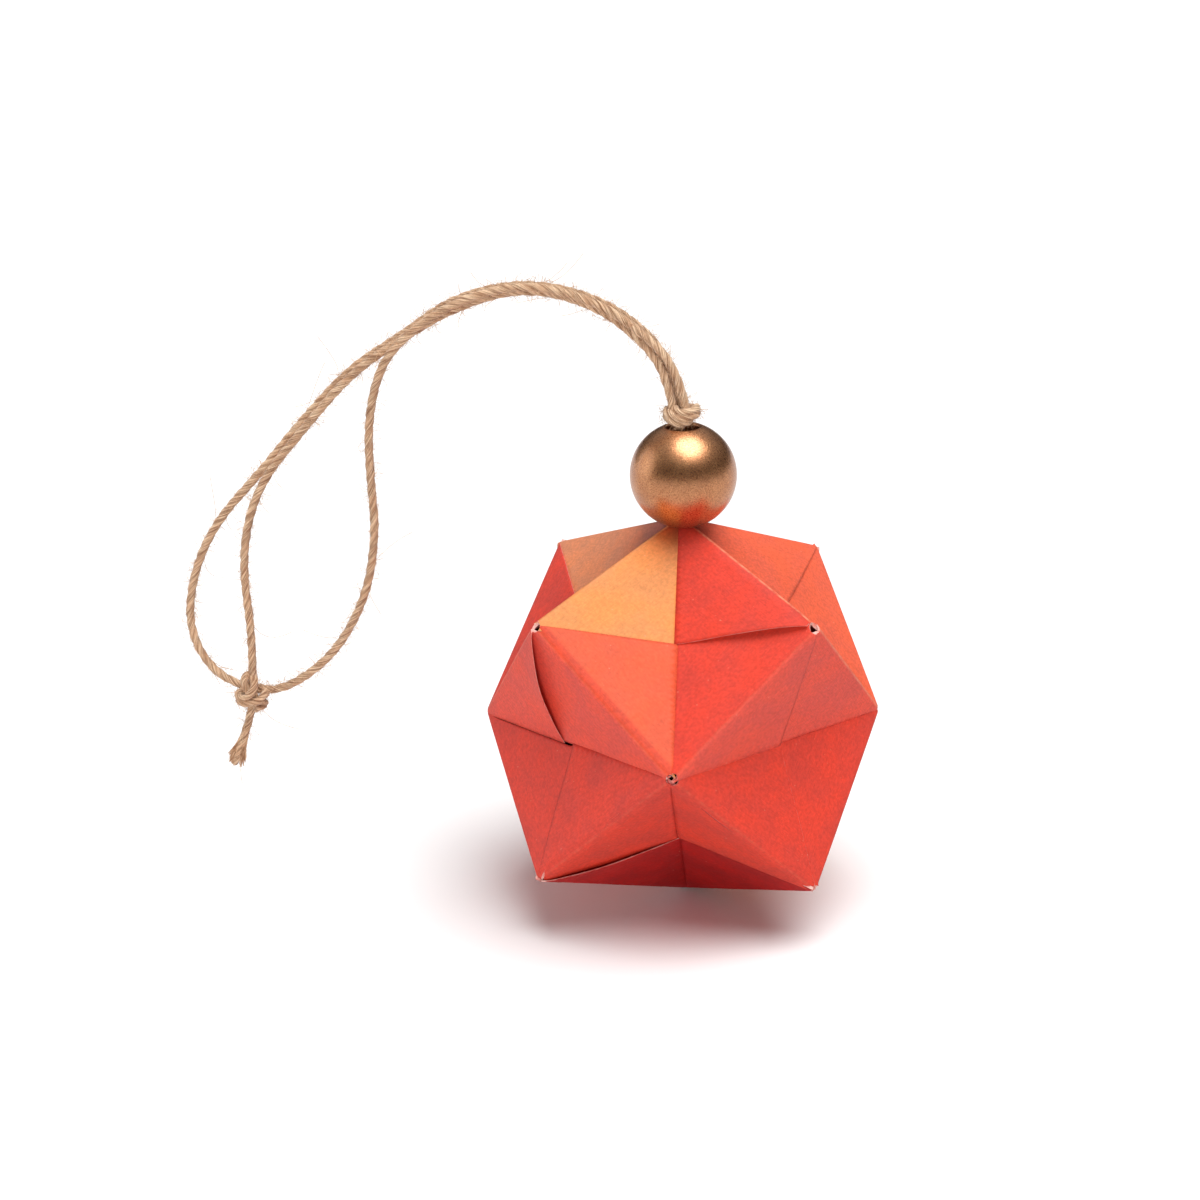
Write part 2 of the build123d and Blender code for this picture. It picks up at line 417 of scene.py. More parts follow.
def runTree(name, line, tree, values):
    # evaluate a tree on a line of edges and keep the result as a plain mesh
    holder = addObject(name + "Line", line)
    modifier = holder.modifiers.new("tree", "NODES")
    modifier.node_group = tree
    for item in tree.interface.items_tree:
        if item.in_out == "INPUT" and item.name in values:
            modifier[item.identifier] = values[item.name]
    graph = bpy.context.evaluated_depsgraph_get()
    mesh = bpy.data.meshes.new_from_object(holder.evaluated_get(graph))
    holder.modifiers.clear()
    bpy.data.objects.remove(holder)
    mesh.name = name
    return addObject(name, mesh)


def juteMaterial():
    material, tree, shader = newMaterial("jute")
    link = tree.links.new
    along = attributeNode(tree, "along")
    around = attributeNode(tree, "around", "Vector")
    lobe = attributeNode(tree, "lobe")
    lengthwise = addNode(tree, "ShaderNodeCombineXYZ")
    link(along, lengthwise.inputs["Z"])
    spot = addNode(tree, "ShaderNodeVectorMath", operation="SCALE")
    link(around, spot.inputs[0])
    spot.inputs["Scale"].default_value = twine["diameter"] / 2
    place = addNode(tree, "ShaderNodeVectorMath", operation="ADD")
    link(spot.outputs[0], place.inputs[0])
    link(lengthwise.outputs[0], place.inputs[1])
    where = place.outputs[0]
    strands = noiseNode(tree, stretched(tree, where, (1, 1, 0.05)), 4200, 4, 0.7)
    patches = noiseNode(tree, where, 420, 3, 0.6)
    flecks = noiseNode(tree, stretched(tree, where, (1, 1, 0.1)), 2600, 2, 0.7)
    light = rampNode(tree, strands, [(0.4, 0.0), (0.58, 1.0)])
    colour = mixColour(tree, light, fromSrgb(146, 102, 72), fromSrgb(246, 214, 178))
    colour = mixColour(tree, rampNode(tree, patches, [(0.42, 0.0), (0.66, 0.5)]), colour,
                       fromSrgb(214, 166, 128))
    colour = mixColour(tree, rampNode(tree, flecks, [(0.56, 0.0), (0.68, 0.75)]), colour,
                       fromSrgb(132, 90, 62))
    # painted shade: the colour darkens down in the grooves between the plies
    groove = rampNode(tree, lobe, [(0.2, 0.5), (0.6, 0.0)])
    colour = mixColour(tree, groove, colour, fromSrgb(136, 96, 66))
    link(colour, shader.inputs["Base Color"])
    setInputs(shader, {"Roughness": 0.82, "Specular IOR Level": 0.25, "Sheen Weight": 0.25,
                       "Sheen Roughness": 0.5})
    link(bumpNode(tree, strands, 0.00018), shader.inputs["Normal"])
    return material


def fibreMaterial():
    # loose fibres, paler than the twine
    material, tree, shader = newMaterial("juteFibre")
    where = addNode(tree, "ShaderNodeTexCoord").outputs["Object"]
    tone = rampNode(tree, noiseNode(tree, where, 900, 2, 0.6), [(0.35, 0.0), (0.65, 1.0)])
    colour = mixColour(tree, tone, fromSrgb(168, 122, 90), fromSrgb(238, 200, 162))
    tree.links.new(colour, shader.inputs["Base Color"])
    setInputs(shader, {"Roughness": 0.7, "Specular IOR Level": 0.25})
    return material


jute = juteMaterial()
fibre = fibreMaterial()
twineTree = buildTwineTree()
fibreTree = buildFibreTree()


def layTwine(name, line, seed, startTurn=0.0):
    return runTree(name, line, twineTree, {
        "Radius": twine["diameter"] / 2 * twine["plump"],
        "Pitch": twine["pitch"],
        "Step": twine["step"],
        "Groove": twine["groove"],
        "Unevenness": twine["unevenness"],
        "Fuzz Density": twine["fuzzDensity"],
        "Fuzz Length": twine["fuzzLength"],
        "Hair Radius": twine["hairRadius"],
        "Start Turn": startTurn,
        "Seed": seed,
        "Material": jute,
        "Hair Material": fibre,
    })


loopLine = routeMesh("loopLine", loopRoute)
tailLine = routeMesh("tailLine", tailRoute)
loopPath = linePoints(loopLine)
tailPath = linePoints(tailLine)
loopTwine = layTwine("loop_cord", loopLine, 3)
tailTwine = layTwine("tail_cord", tailLine, 8, 0.4)
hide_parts("loop_twine")
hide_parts("tail_twine")
print("twine laid:", len(loopTwine.data.polygons), len(tailTwine.data.polygons), "faces")


beadKnot = {"radius": 2.5 * mm, "top": -0.2 * mm, "drop": 0.92 * mm, "turns": 2.35, "lift": 0.6 * mm,
            "centre": 0.35 * mm, "start": -2.5, "points": 150, "bulge": 0.06}
loopKnot = {"centre": (-0.0856, 0.0152, -0.0608)}


def knotLine(name, points):
    mesh = bpy.data.meshes.new(name)
    mesh.from_pydata(points, [(i, i + 1) for i in range(len(points) - 1)], [])
    return mesh


def beadKnotPoints():
    # the twine wraps the bundle, low in front and behind, high at both sides
    points = []
    for i in range(beadKnot["points"] + 1):
        t = i / beadKnot["points"]
        angle = beadKnot["start"] + t * beadKnot["turns"] * 2 * math.pi
        side = math.cos(angle) ** 2
        ends = 0.55 + 0.45 * min(1, t * 9, (1 - t) * 9)   # both ends dive into the knot
        reach = beadKnot["radius"] * (1 + beadKnot["bulge"] * side) * ends
        z = beadKnot["top"] - beadKnot["drop"] * t * beadKnot["turns"] + beadKnot["lift"] * (side - 0.4)
        points.append((beadKnot["centre"] + reach * math.cos(angle), reach * math.sin(angle), z))
    return points


def loopKnotPoints():
    # an overhand hitch: up over the hump in front, then twice round the three strands
    route = [
        (0.6, -1.2, -1.0), (-0.9, -2.1, 1.2), (-1.2, -1.6, 2.8), (-0.2, -0.7, 3.6), (0.9, -1.5, 2.9),
        (1.0, -2.4, 1.4), (0.2, -3.0, -0.2), (-1.6, -2.5, -1.2), (-3.0, -0.6, -1.0), (-2.2, 1.7, -0.6),
        (0.2, 2.6, -0.6), (2.5, 1.5, -0.4), (2.7, -0.6, -0.7), (2.0, -2.5, -1.5), (-0.4, -3.0, -1.9),
        (-2.5, -1.6, -2.0), (-2.6, 0.7, -2.4), (-0.6, 2.3, -2.7), (1.8, 1.6, -3.0), (2.4, -0.6, -3.1),
        (0.8, -2.3, -3.2),
    ]
    centre = Vector(loopKnot["centre"])
    return [tuple(centre + Vector(place) * mm) for place in route]


beadKnotPiece = layTwine("bead_knot_wraps", knotLine("beadKnotLine", beadKnotPoints()), 21)
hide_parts("bead_knot")
loopKnotPiece = layTwine("loop_knot_wraps", routeMesh("loopKnotLine", loopKnotPoints()), 34)
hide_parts("loop_knot")
print("knots tied")

# fibres: a frayed brush at the tail's end and long strays along both cords
stray = {"brush": 120, "brushLength": 7.0 * mm, "brushWidth": 1.6 * mm, "brushRadius": 0.1 * mm,
         "brushRoot": 6.9 * mm, "strays": 56, "strayLength": 12 * mm, "radius": 0.04 * mm, "seed": 5}


def fibreMesh(name, lines):
    points, edges = [], []
    for line in lines:
        first = len(points)
        points += [tuple(p) for p in line]
        edges += [(first + i, first + i + 1) for i in range(len(line) - 1)]
    mesh = bpy.data.meshes.new(name)
    mesh.from_pydata(points, edges, [])
    return mesh


def brushLines(rng):
    end = Vector(tailPath[-1])
    down = (end - Vector(tailPath[-8])).normalized()
    side = down.cross(Vector((0, -1, 0))).normalized()
    depth = down.cross(side)
    lines = []
    for _ in range(stray["brush"]):
        a, b = rng.uniform(-1, 1), rng.uniform(-0.8, 0.8)
        length = stray["brushLength"] * rng.uniform(0.55, 1.0)
        bend = rng.uniform(-0.3, 0.3)
        line = []
        for k in range(9):
            u = k / 8
            spread = 0.45 + 0.55 * u ** 1.4
            place = end + down * (u * length - stray["brushRoot"])
            place = place + depth * (b * spread * stray["brushWidth"] * 0.7)
            line.append(place + side * ((a * spread + bend * u * u) * stray["brushWidth"]))
        lines.append(line)
    return lines


def strayLines(rng, path):
    lines = []
    for _ in range(stray["strays"] // 2):
        spot = int(rng.uniform(0.06, 0.97) * (len(path) - 3))
        place = Vector(path[spot])
        way = (Vector(path[spot + 2]) - place).normalized()
        away = way.cross(Vector(rng.normal(size=3))).normalized()
        heading = (way * rng.choice((-1, 1)) + away * 0.35).normalized()
        turn = away * rng.uniform(0.06, 0.3) - way * rng.uniform(-0.1, 0.1)
        length = stray["strayLength"] * rng.uniform(0.25, 1.0)
        place = place + away * twine["diameter"] * 0.35
        line = [place]
        for k in range(12):
            turn = turn + Vector(rng.normal(size=3)) * 0.06
            heading = (heading + turn * 0.5).normalized()
            place = place + heading * length / 12
            line.append(place)
        lines.append(line)
    return lines


rng = np.random.default_rng(stray["seed"])
brushPiece = runTree("frayed_end", fibreMesh("brushLines", brushLines(rng)), fibreTree, {
    "Hair Radius": stray["brushRadius"],
    "Hair Material": fibre,
})
strayMesh = fibreMesh("strayLines", strayLines(rng, loopPath) + strayLines(rng, tailPath))
fibrePiece = runTree("loose_fibres", strayMesh, fibreTree, {
    "Hair Radius": stray["radius"],
    "Hair Material": fibre,
})
print("fibres frayed:", len(brushPiece.data.polygons) + len(fibrePiece.data.polygons), "faces")


beadLow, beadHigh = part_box("bead")
bead = {
    "radius": 9.8 * mm,
    "bore": 3 * mm,
    "mouthRound": 0.5 * mm,
    "centre": (beadLow + beadHigh) / 2 + Vector((0.5, 0, 0.4)) * mm,   # rides a hair high on the folds
    "boreRings": (-5 * mm, 0, 5 * mm),
    "sides": 128,
    "arcSteps": 72,
}


def beadMaterial():
    # satin bronze paint with fine metal flake under a thin clear coat
    material, tree, shader = newMaterial("bronzeBead")
    link = tree.links.new
    where = addNode(tree, "ShaderNodeTexCoord").outputs["Object"]
    grain = noiseNode(tree, where, 4200, 2, 0.7)
    soft = noiseNode(tree, where, 420, 3, 0.5)
    flake = addNode(tree, "ShaderNodeTexVoronoi")
    link(where, flake.inputs["Vector"])
    flake.inputs["Scale"].default_value = 4600
    tone = mixColour(tree, rampNode(tree, grain, [(0.35, 0.0), (0.65, 1.0)]),
                     fromSrgb(176, 114, 72), fromSrgb(228, 166, 116))
    tone = mixColour(tree, rampNode(tree, soft, [(0.35, 0.0), (0.7, 0.3)]), tone, fromSrgb(160, 100, 68))
    link(tone, shader.inputs["Base Color"])
    shader.inputs["Metallic"].default_value = 0.9
    rough = mathNode(tree, "ADD", mathNode(tree, "MULTIPLY", grain, 0.14), 0.22)
    link(rough, shader.inputs["Roughness"])
    setInputs(shader, {"Coat Weight": 0.5, "Coat Roughness": 0.22})
    height = mathNode(tree, "ADD", grain, mathNode(tree, "MULTIPLY", flake.outputs["Distance"], 0.6))
    link(bumpNode(tree, height, 0.00003, 1.0), shader.inputs["Normal"])
    return material


def beadMesh():
    # outline from the top mouth round the outside to the bottom mouth, then back up the bore
    r = bead["radius"]
    lip = bead["mouthRound"]
    outer = math.asin((bead["bore"] + lip) / r)
    outline = []
    for i in range(bead["arcSteps"] + 1):
        a = outer + (math.pi - 2 * outer) * i / bead["arcSteps"]
        outline.append((r * math.sin(a), r * math.cos(a)))
    mouth = outline[-1][1]
    lower = [(bead["bore"] + lip * (1 - math.sin(t)), mouth + lip * (1 - math.cos(t)) * 0.9)
             for t in (math.pi / 2 * k / 5 for k in range(1, 6))]
    outline += lower + [(bead["bore"], z) for z in bead["boreRings"]]
    outline += [(x, -z) for x, z in reversed(lower)]
    sides = bead["sides"]
    points = []
    for x, z in outline:
        for k in range(sides):
            a = 2 * math.pi * k / sides
            points.append(bead["centre"] + Vector((x * math.cos(a), x * math.sin(a), z)))
    rows = len(outline)
    faces = []
    for i in range(rows):
        for k in range(sides):
            a, b = i * sides + k, i * sides + (k + 1) % sides
            c, d = ((i + 1) % rows) * sides + (k + 1) % sides, ((i + 1) % rows) * sides + k
            faces.append((a, d, c, b))
    return meshFrom("bronze_bead", points, faces)


beadPiece = addObject("bronze_bead", beadMesh())
beadPiece.data.materials.append(beadMaterial())
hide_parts("bead")
print("bead turned")


paper = {
    "ridge": 37.123,           # one ridge of the ball, in mm
    "flapThickness": 0.22,
    "tabThickness": 0.6,
    "foldRadius": 0.8,
    "cells": 60,
    "crowding": 0.62,          # how much finer the grid is beside folds and tips
    "grow": 0.25,              # the sharp corners that the rounded folds are drawn from stand this far out
    "apexOpening": 0.5,
    "tipOpening": 0.8,
    "ballCentre": -58.321,
    "tabInset": 1.15,
    "paleReach": 2.6,          # cut edges are rubbed pale this near a corner
    "waves": 0.2,              # no face is perfectly flat
    "waveSize": 9.0,
    "belly": 0.12,             # how far a flap swells in its middle
    "tuck": 0.25,              # how far a flap runs on into the valley
    "tuckReach": 1.2,
    "beadContactShade": 0.8,              # painted shade where the bead presses on the sheets
    "beadContactShadeReach": 4.6,
    # how far the painted shade beside a tip goes towards its colour
    "tipShadeDepth": 0.85,
    "underShade": 0.45,          # painted shade: the layers under a tab are darkened to this part of their dye
}

tips = {
    "top": (0, 0, 1), "bottom": (0, 0, -1), "front": (0, -1, 0),
    "back": (0, 1, 0), "left": (-1, 0, 0), "right": (1, 0, 0),
}
# the ball is hand folded, so some corners stand a little off the ideal, in mm
cornerShift = {
    "front": (-0.5, 0, 0.6), "left": (-0.3, 0, -0.8), "right": (-0.3, 0, 0.1), "top": (0, 0, 0.6),
    "leftFrontTop": (-0.6, -0.1, 0.2), "rightFrontTop": (0.3, 0, 0.2),
    "leftFrontBottom": (-1.1, -0.1, 0.1), "rightFrontBottom": (0.2, -0.3, -1.2),
    "leftBackTop": (-0.2, 0.2, 0.5), "rightBackTop": (0.4, 0, -0.2),
}

# dyes of the sheets, with two painted shade colours at the end
dyesAndShades = {
    "orange": fromSrgb(236, 151, 88),
    "dullOrange": fromSrgb(226, 146, 108),
    "orangeRed": fromSrgb(235, 97, 64),
    "red": fromSrgb(220, 69, 54),
    "lightRed": fromSrgb(246, 108, 78),
    "pinkRed": fromSrgb(236, 90, 76),
    "dullRed": fromSrgb(218, 72, 60),
    # painted shade and painted reflection of the bead, for the paper beside it
    "beadShadePlum": fromSrgb(168, 104, 108),
    # painted shade: a dark red for faces that look down and for the paper under the bead
    "shadeRed": fromSrgb(168, 26, 26),
}

# each sheet, then at each of its two apexes the colour of flap and tab (dyes, and the painted shade colours)
# and how they sit, in mm:
# lift is how far the flap's cut edge stands off, pull how far its corner has crept back,
# gap how far the tab's edge stops short of the valley, round the fold's radius, apexRoll and
# tipRoll how much rounder the fold is at its ends, apexCut and tipCut how blunt the sheet is there.
# the tip colour is painted shade, and for the plum also a painted reflection of the bead, laid on the tab
# beside its tip over the given reach in mm, and crease darkens a band beside the fold.
units = {
    "top_front": {
        "tips": ("top", "front"),
        "leftFrontTop": {"flap": "orangeRed", "tab": "pinkRed", "lift": 0.12, "gap": -0.1, "crease": 0.16,
                         "apexRoll": 0.7, "apexCut": 1.5, "tipCut": 1.2},
        "rightFrontTop": {"flap": "red", "tab": "lightRed", "lift": 1.2, "skew": 0.8, "apexRoll": 1.3,
                          "apexCut": 1.9, "tipShadeColour": "beadShadePlum", "tipShadeSpread": 5.0, "wearAndSheen": 1.0},
    },
    "top_left": {
        "tips": ("top", "left"),
        "leftFrontTop": {"flap": "orange", "tab": "orange", "lift": 0.1, "gap": 0.12, "apexRoll": 0.8,
                         "apexCut": 1.5, "tipShadeColour": "shadeRed", "tipShadeSpread": 7.0, "wearAndSheen": 0.5},
        "leftBackTop": {"flap": "dullRed", "tab": "red", "lift": 0.1, "apexCut": 1.0},
    },
    "top_right": {
        "tips": ("top", "right"),
        "rightFrontTop": {"flap": "lightRed", "tab": "pinkRed", "lift": 0.12, "wearAndSheen": 0.5, "apexCut": 1.6,
                          "tipCut": 1.2},
        "rightBackTop": {"flap": "lightRed", "tab": "red", "lift": 0.3, "apexCut": 1.2},
    },
    "top_back": {
        "tips": ("top", "back"),
        "leftBackTop": {"flap": "orange", "tab": "dullOrange", "lift": 0.2, "tipShadeColour": "beadShadePlum", "tipShadeSpread": 12.0},
        "rightBackTop": {"flap": "orange", "tab": "orangeRed", "lift": 0.2},
    },
    "bottom_front": {
        "tips": ("bottom", "front"),
        # painted shade: this flap faces down at the bottom and is given the dark shade red
        "leftFrontBottom": {"flap": "shadeRed", "tab": "red", "lift": 0.85, "skew": 0.2, "gap": -0.1},
        "rightFrontBottom": {"flap": "red", "tab": "red", "lift": 0.0, "proud": 0.07, "round": 1.5,
                             "tipRoll": 0.6, "tipCut": 1.8, "apexCut": 1.2, "gap": 0.12},
    },
    "bottom_left": {
        "tips": ("bottom", "left"),
        "leftFrontBottom": {"flap": "red", "tab": "dullRed", "lift": 0.0, "proud": 0.07, "gap": 0.5,
                            "apexCut": 1.1},
        "leftBackBottom": {"flap": "pinkRed", "tab": "red", "lift": 0.3},
    },
    "bottom_right": {
        "tips": ("bottom", "right"),
        # painted shade: this tab faces down at the bottom and is given the dark shade red
        "rightFrontBottom": {"flap": "red", "tab": "shadeRed", "lift": 0.1, "apexCut": 1.1},
        "rightBackBottom": {"flap": "orangeRed", "tab": "red", "lift": 0.3},
    },
    "bottom_back": {
        "tips": ("bottom", "back"),
        "leftBackBottom": {"flap": "orange", "tab": "dullOrange", "lift": 0.3},
        "rightBackBottom": {"flap": "orangeRed", "tab": "orange", "lift": 0.2},
    },
    "front_left": {
        "tips": ("front", "left"),
        "leftFrontTop": {"flap": "pinkRed", "tab": "red", "lift": 2.1, "pull": 2.6, "apexRoll": 0.9,
                         "apexCut": 1.5, "wearAndSheen": 0.5},
        "leftFrontBottom": {"flap": "dullRed", "tab": "red", "lift": 0.08, "round": 1.9, "tipCut": 1.4,
                            "apexCut": 1.2, "gap": 0.2},
    },
    "front_right": {
        "tips": ("front", "right"),
        "rightFrontTop": {"flap": "pinkRed", "tab": "red", "lift": 0.05, "gap": 0.05, "apexCut": 1.7,
                          "tipCut": 1.5},
        "rightFrontBottom": {"flap": "red", "tab": "red", "lift": 0.0, "proud": 0.07, "apexCut": 1.3,
                             "wearAndSheen": 0.3},
    },
    "back_left": {
        "tips": ("back", "left"),
        "leftBackTop": {"flap": "red", "tab": "dullRed", "lift": 0.5, "apexCut": 0.9},
        "leftBackBottom": {"flap": "dullRed", "tab": "pinkRed", "lift": 0.2},
    },
    "back_right": {
        "tips": ("back", "right"),
        "rightBackTop": {"flap": "lightRed", "tab": "lightRed", "lift": 0.25, "apexCut": 1.0},
        "rightBackBottom": {"flap": "pinkRed", "tab": "red", "lift": 0.4},
    },
}


def apexName(signs):
    return ("left" if signs[0] < 0 else "right") + ("Front" if signs[1] < 0 else "Back") \
        + ("Top" if signs[2] > 0 else "Bottom")


def buildCorners():
    corners = {name: np.array(p, float) * paper["ridge"] for name, p in tips.items()}
    for x in (-1, 1):
        for y in (-1, 1):
            for z in (-1, 1):
                corners[apexName((x, y, z))] = np.array((x, y, z), float) * paper["ridge"] * 2 / 3
    for name, place in corners.items():
        shift = place / np.linalg.norm(place) * paper["grow"] + np.array(cornerShift.get(name, (0, 0, 0)))
        corners[name] = place + shift
    return corners


corners = buildCorners()


def thirdTip(apex, pair):
    # the tip beside this apex that isn't one of the unit's own two
    signs = np.sign(corners[apex])
    near = [n for n, p in tips.items() if np.dot(p, signs) > 0]
    return [n for n in near if n not in pair][0]


def ridgeEnds(apex, pair):
    # the flap's ridge runs to `own`; the tab comes in from the neighbour over the ridge to `far`
    third = thirdTip(apex, pair)
    for own, far in (pair, pair[::-1]):
        if np.linalg.det([tips[far], tips[own], tips[third]]) < 0:
            return own, far, third


def skinGrid():
    # sheet coordinates: s along the ridge from apex to tip, w across it,
    # above zero on the flap and below zero on the tab
    n = paper["cells"]
    ridge = paper["ridge"]
    steps = np.arange(n + 1) / n
    spaced = ridge * (steps - paper["crowding"] * np.sin(2 * np.pi * steps) / (2 * np.pi))
    index = {}
    s, w = [], []
    for i in range(n + 1):
        for j in range(-(n - i), min(i, n - i) + 1):
            index[i, j] = len(s)
            s.append(spaced[i])
            w.append(math.copysign(spaced[abs(j)], j))
    faces = []
    for i in range(n):
        for j in range(-n, n // 2):
            loop = [(i, j), (i + 1, j), (i + 1, j + 1), (i, j + 1)]
            loop = [index[c] for c in loop if c in index]
            if len(loop) >= 3:
                faces.append(loop)
    return np.array(s), np.array(w), faces


def trimCorners(s, w, faces, apexCut, tipCut):
    # round off the sheet at the apex and at the tip
    for centre, reach in ((0.0, apexCut), (paper["ridge"], tipCut)):
        away = np.hypot(s - centre, w)
        inside = away < reach - 1e-6
        faces = [f for f in faces if not all(inside[k] for k in f)]
        safe = np.maximum(away, 1e-9)
        s = np.where(inside, centre + (s - centre) / safe * reach, s)
        w = np.where(inside, w / safe * reach, w)
    used = sorted({k for f in faces for k in f})
    renumber = {k: i for i, k in enumerate(used)}
    return s[used], w[used], [[renumber[k] for k in f] for f in faces]


skin = skinGrid()


def boundaryEdges(faces):
    seen = {}
    for f in faces:
        for a, b in zip(f, f[1:] + f[:1]):
            seen[a, b] = True
    return [e for e in seen if (e[1], e[0]) not in seen]


def unitNormal(vector):
    return vector / np.linalg.norm(vector)


def wavesAt(points):
    shift = Vector((7.3, 3.1, 5.7))
    return np.array([noise.noise(Vector(p) / paper["waveSize"] + shift) for p in points])


def foldHalf(apex, pair, sits):
    # one half of a unit: flap, rounded ridge fold and tab, as outer and inner surfaces
    own, far, third = ridgeEnds(apex, pair)
    ridge = paper["ridge"]
    start = corners[apex]
    alongRidge = (corners[own] - start) / ridge
    flapWay = (corners[far] - start) / ridge
    tabWay = (corners[third] - start) / ridge
    flapOut = unitNormal(np.cross(flapWay, alongRidge))
    flapOut = flapOut * (1 if flapOut @ start > 0 else -1)
    tabOut = unitNormal(np.cross(tabWay, alongRidge))
    tabOut = tabOut * (1 if tabOut @ start > 0 else -1)
    s, w, faces = trimCorners(*skin, sits.get("apexCut", paper["apexOpening"]),
                              sits.get("tipCut", paper["tipOpening"]))
    onFlap = w > 0
    # place in the flap: nearness to apex, tip and the valley's middle
    toMiddle = np.where(onFlap, 2 * w / ridge, 0)
    toTip = np.where(onFlap, (s - w) / ridge, 0)
    toApex = np.where(onFlap, 1 - toTip - toMiddle, 0)
    slide = sits.get("pull", 0.0) * toMiddle / math.sqrt(2)
    edge = 4 * toApex * toMiddle * (1 - toTip) ** 3
    lift = sits.get("lift", 0.2) * edge * (1 + sits.get("skew", 0.0) * (toApex - toMiddle))
    # the flap runs on into the valley's fold
    tuck = paper["tuck"] * np.exp(-(ridge - s - w) / paper["tuckReach"]) * smoothStep(w, 0.3, 2)
    s2 = s + slide + tuck
    w2 = w - slide + tuck
    # the tab's far edge stops short of the valley where it shows, and its side edge keeps clear
    # of the next fold
    across = np.where(onFlap, 0, -w)
    short = ridge - s - across
    gap = 0.02 + (sits.get("gap", 0.2) - 0.02) * smoothStep(s - across, -2, 2)
    back = gap * np.exp(-np.abs(short) / 3) * smoothStep(across, 0.3, 3) / math.sqrt(2)
    s2 = s2 - np.where(onFlap, 0, back)
    w2 = w2 + np.where(onFlap, 0, back)
    s2 = s2 + np.where(onFlap, 0, paper["tabInset"] * np.exp(-s / 2.5) * smoothStep(across, 0.7, 3))
    r = sits.get("round", paper["foldRadius"]) + sits.get("apexRoll", 0.15) * np.exp(-s / 2.2) \
        + sits.get("tipRoll", 0.15) * np.exp(-(ridge - s) / 2.2)
    angle = np.clip(w2 / r, -1, 1) * math.pi / 4 + math.pi / 4   # 0 on the tab, half pi on the flap
    bent = np.abs(w2) < r
    base = start + s2[:, None] * alongRidge
    flat = base + np.where(w2[:, None] > 0, w2[:, None] * flapWay, -w2[:, None] * tabWay)
    hub = base + r[:, None] * (flapWay + tabWay)
    arc = hub - r[:, None] * (np.sin(angle)[:, None] * tabWay + np.cos(angle)[:, None] * flapWay)
    arcOut = -(np.sin(angle)[:, None] * tabWay + np.cos(angle)[:, None] * flapWay)
    arcOut = arcOut / np.linalg.norm(arcOut, axis=1)[:, None]
    place = np.where(bent[:, None], arc, flat)
    out = np.where(bent[:, None], arcOut, np.where(w2[:, None] > 0, flapOut, tabOut))
    # the flap lies a sheet higher than the tab, and nothing is perfectly flat
    proud = sits.get("proud", paper["flapThickness"]) * smoothStep(w2, 0.2, 1.8) + lift
    waves = paper["waves"] * wavesAt(place) * smoothStep(np.abs(w2), 0, 5)
    belly = 27 * toApex * toTip * toMiddle * paper["belly"]   # the product peaks at a 27th
    outer = place + out * (proud + belly + waves)[:, None]
    thinner = paper["tabThickness"] - paper["flapThickness"]
    thick = paper["tabThickness"] - thinner * smoothStep(w2, -1.5, 1.5)
    inner = outer - out * thick[:, None]
    return {"s": s, "w": w, "outer": outer, "inner": inner, "faces": faces, "start": start,
            "alongRidge": alongRidge, "flapWay": flapWay, "flapOut": flapOut, "sits": sits}


# depth and inset of the upper and lower face of the layers under a tab, in mm
plate = {"faces": ((0.85, 1.5), (1.35, 1.9)), "tipGap": 2.5, "apexGap": 3}


def bodyPlate(half):
    # the sheets that lie under the tab, as one plate from ridge to valley
    points = []
    for depth, inset in plate["faces"]:
        reach = paper["ridge"] + depth - inset - plate["tipGap"]
        start = inset + plate["apexGap"]
        for x, y in ((inset, start), (inset, reach), (reach, inset), (start, inset)):
            place = half["start"] + x * half["flapWay"] + y * half["alongRidge"]
            points.append(place - half["flapOut"] * depth)
    faces = [[0, 1, 2, 3], [4, 7, 6, 5], [0, 4, 5, 1], [1, 5, 6, 2], [2, 6, 7, 3], [3, 7, 4, 0]]
    return points, faces


def outwardFirst(points, faces, out):
    # turn the winding so that the first face looks along out
    a, b, c = (points[k] for k in faces[0][:3])
    if np.cross(b - a, c - a) @ out < 0:
        return [f[::-1] for f in faces]
    return faces


